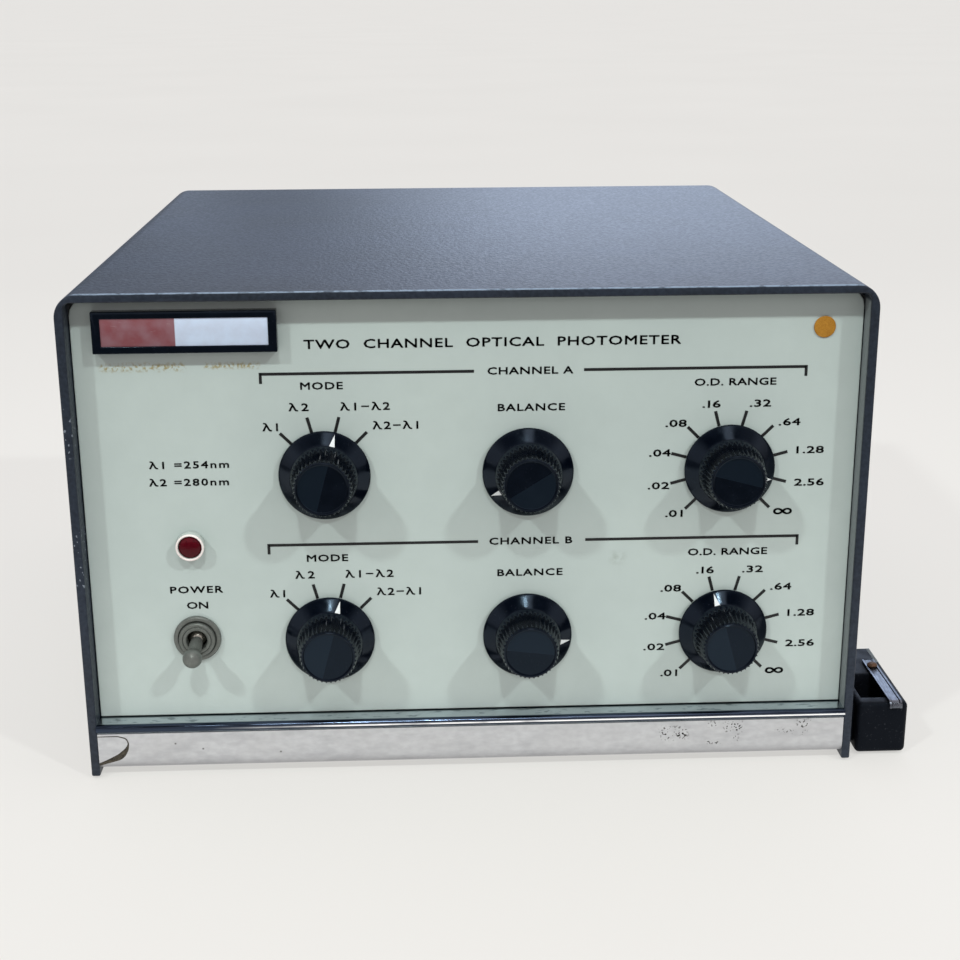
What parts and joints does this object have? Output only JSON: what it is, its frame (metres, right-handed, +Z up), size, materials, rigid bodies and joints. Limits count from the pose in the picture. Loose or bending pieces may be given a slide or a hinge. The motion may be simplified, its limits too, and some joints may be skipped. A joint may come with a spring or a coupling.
{
  "type": "spectrophotometer",
  "caption": "Bench absorbance photometer: bent sheet-metal cover, recessed panel with skirted knobs, pilot lamp and power toggle, bright rail below, cell block on one side.",
  "frame": {"origin": "middle of the footprint of the whole object, on the plane that its rubber feet stand on", "axes": "+Z up, +Y from the front panel towards the back, +X to the right as seen from the front"},
  "size_m": [0.3584, 0.3578, 0.211],
  "materials": {
    "textured_blue_grey_paint": "wrinkled blue-grey paint, satin",
    "grey_green_paint": "smooth pale grey-green paint, semi-matt",
    "bright_rail": "polished and plated",
    "satin_foil": "self-adhesive satin foil, scuffed",
    "plated_sheet": "passivated sheet",
    "black_phenolic": "glossy moulded phenolic",
    "turned_steel": "turned bar",
    "nickel_plate": "dull nickel plate",
    "moulded_black": "matt moulded black",
    "brown_laminate": "brown phenolic laminate",
    "grey_enamel": "grey enamel",
    "ivory_plastic": "pale moulded plastic",
    "red_lens": "dark red moulded lens, unlit",
    "foil_label": "printed foil label, no lettering",
    "orange_paper": "orange paper sticker",
    "black_rubber": "moulded rubber",
    "rusty_steel": "tarnished steel",
    "spring_steel": "spring strip",
    "green_laminate": "circuit board laminate",
    "transformer_iron": "varnished laminations",
    "cast_aluminium": "sand-cast, unpainted"
  },
  "bodies": {
    "cabinet": {"top_cover": "textured_blue_grey_paint", "cover_screw_left_front": "nickel_plate", "cover_screw_left_back": "nickel_plate", "cover_screw_right_front": "nickel_plate", "cover_screw_right_back": "nickel_plate", "front_panel": "grey_green_paint", "chassis_tray": "plated_sheet", "foot_left_front": "black_rubber", "foot_left_back": "black_rubber", "foot_right_front": "black_rubber", "foot_right_back": "black_rubber", "rear_panel": "plated_sheet", "front_rail": "bright_rail", "rail_foil": "satin_foil", "nut_mode_a": "nickel_plate", "nut_balance_a": "nickel_plate", "nut_range_a": "nickel_plate", "nut_mode_b": "nickel_plate", "nut_balance_b": "nickel_plate", "nut_range_b": "nickel_plate", "rotary_switch_mode_a": "brown_laminate", "resistor_balance_a": "nickel_plate", "rotary_switch_range_a": "brown_laminate", "rotary_switch_mode_b": "brown_laminate", "resistor_balance_b": "nickel_plate", "rotary_switch_range_b": "brown_laminate", "lamp_bezel": "ivory_plastic", "lamp_lens": "red_lens", "lamp_holder": "moulded_black", "toggle_body": "moulded_black", "toggle_ring": "grey_enamel", "toggle_nut": "grey_enamel", "nameplate_frame": "black_phenolic", "nameplate_label": "foil_label", "round_sticker": "orange_paper", "cell_block": "moulded_black", "clip_screw": "rusty_steel", "power_inlet": "moulded_black", "fuse_holder": "moulded_black", "output_socket_a": "nickel_plate", "output_socket_b": "nickel_plate", "power_transformer": "transformer_iron", "amplifier_board": "green_laminate", "lamp_house": "cast_aluminium", "filter_block": "cast_aluminium", "photocell": "nickel_plate"},
    "knob_body_mode_a": {"knob_mode_a": "black_phenolic", "shaft_mode_a": "turned_steel"},
    "knob_body_balance_a": {"knob_balance_a": "black_phenolic", "shaft_balance_a": "turned_steel"},
    "knob_body_range_a": {"knob_range_a": "black_phenolic", "shaft_range_a": "turned_steel"},
    "knob_body_mode_b": {"knob_mode_b": "black_phenolic", "shaft_mode_b": "turned_steel"},
    "knob_body_balance_b": {"knob_balance_b": "black_phenolic", "shaft_balance_b": "turned_steel"},
    "knob_body_range_b": {"knob_range_b": "black_phenolic", "shaft_range_b": "turned_steel"},
    "toggle": {"toggle_lever": "grey_enamel"},
    "clip": {"cell_clip": "spring_steel"}
  },
  "joints": [
    {"name": "turn_mode_a", "type": "hinge", "parent": "cabinet", "child": "knob_body_mode_a", "pos_m": [-0.07275, -0.1571, 0.1327], "axis": [0, 1, 0], "range_deg": [-60, 30]},
    {"name": "turn_balance_a", "type": "hinge", "parent": "cabinet", "child": "knob_body_balance_a", "pos_m": [0.01165, -0.1571, 0.1327], "axis": [0, 1, 0], "range_deg": [-28, 272]},
    {"name": "turn_range_a", "type": "hinge", "parent": "cabinet", "child": "knob_body_range_a", "pos_m": [0.09605, -0.1571, 0.1327], "axis": [0, 1, 0], "range_deg": [-240, 30]},
    {"name": "turn_mode_b", "type": "hinge", "parent": "cabinet", "child": "knob_body_mode_b", "pos_m": [-0.07275, -0.1571, 0.0596], "axis": [0, 1, 0], "range_deg": [-60, 30]},
    {"name": "turn_balance_b", "type": "hinge", "parent": "cabinet", "child": "knob_body_balance_b", "pos_m": [0.01165, -0.1571, 0.0596], "axis": [0, 1, 0], "range_deg": [-247, 53]},
    {"name": "turn_range_b", "type": "hinge", "parent": "cabinet", "child": "knob_body_range_b", "pos_m": [0.09605, -0.1571, 0.0596], "axis": [0, 1, 0], "range_deg": [-120, 150]},
    {"name": "flip_toggle", "type": "hinge", "parent": "cabinet", "child": "toggle", "pos_m": [-0.12915, -0.1556, 0.0609], "axis": [-0.9767, 0, 0.2147], "range_deg": [0, 31.2]},
    {"name": "swing_clip", "type": "hinge", "parent": "cabinet", "child": "clip", "pos_m": [0.17315, -0.1241, 0.0257], "axis": [0, 0, 1], "range_deg": [0, 100]}
  ]
}
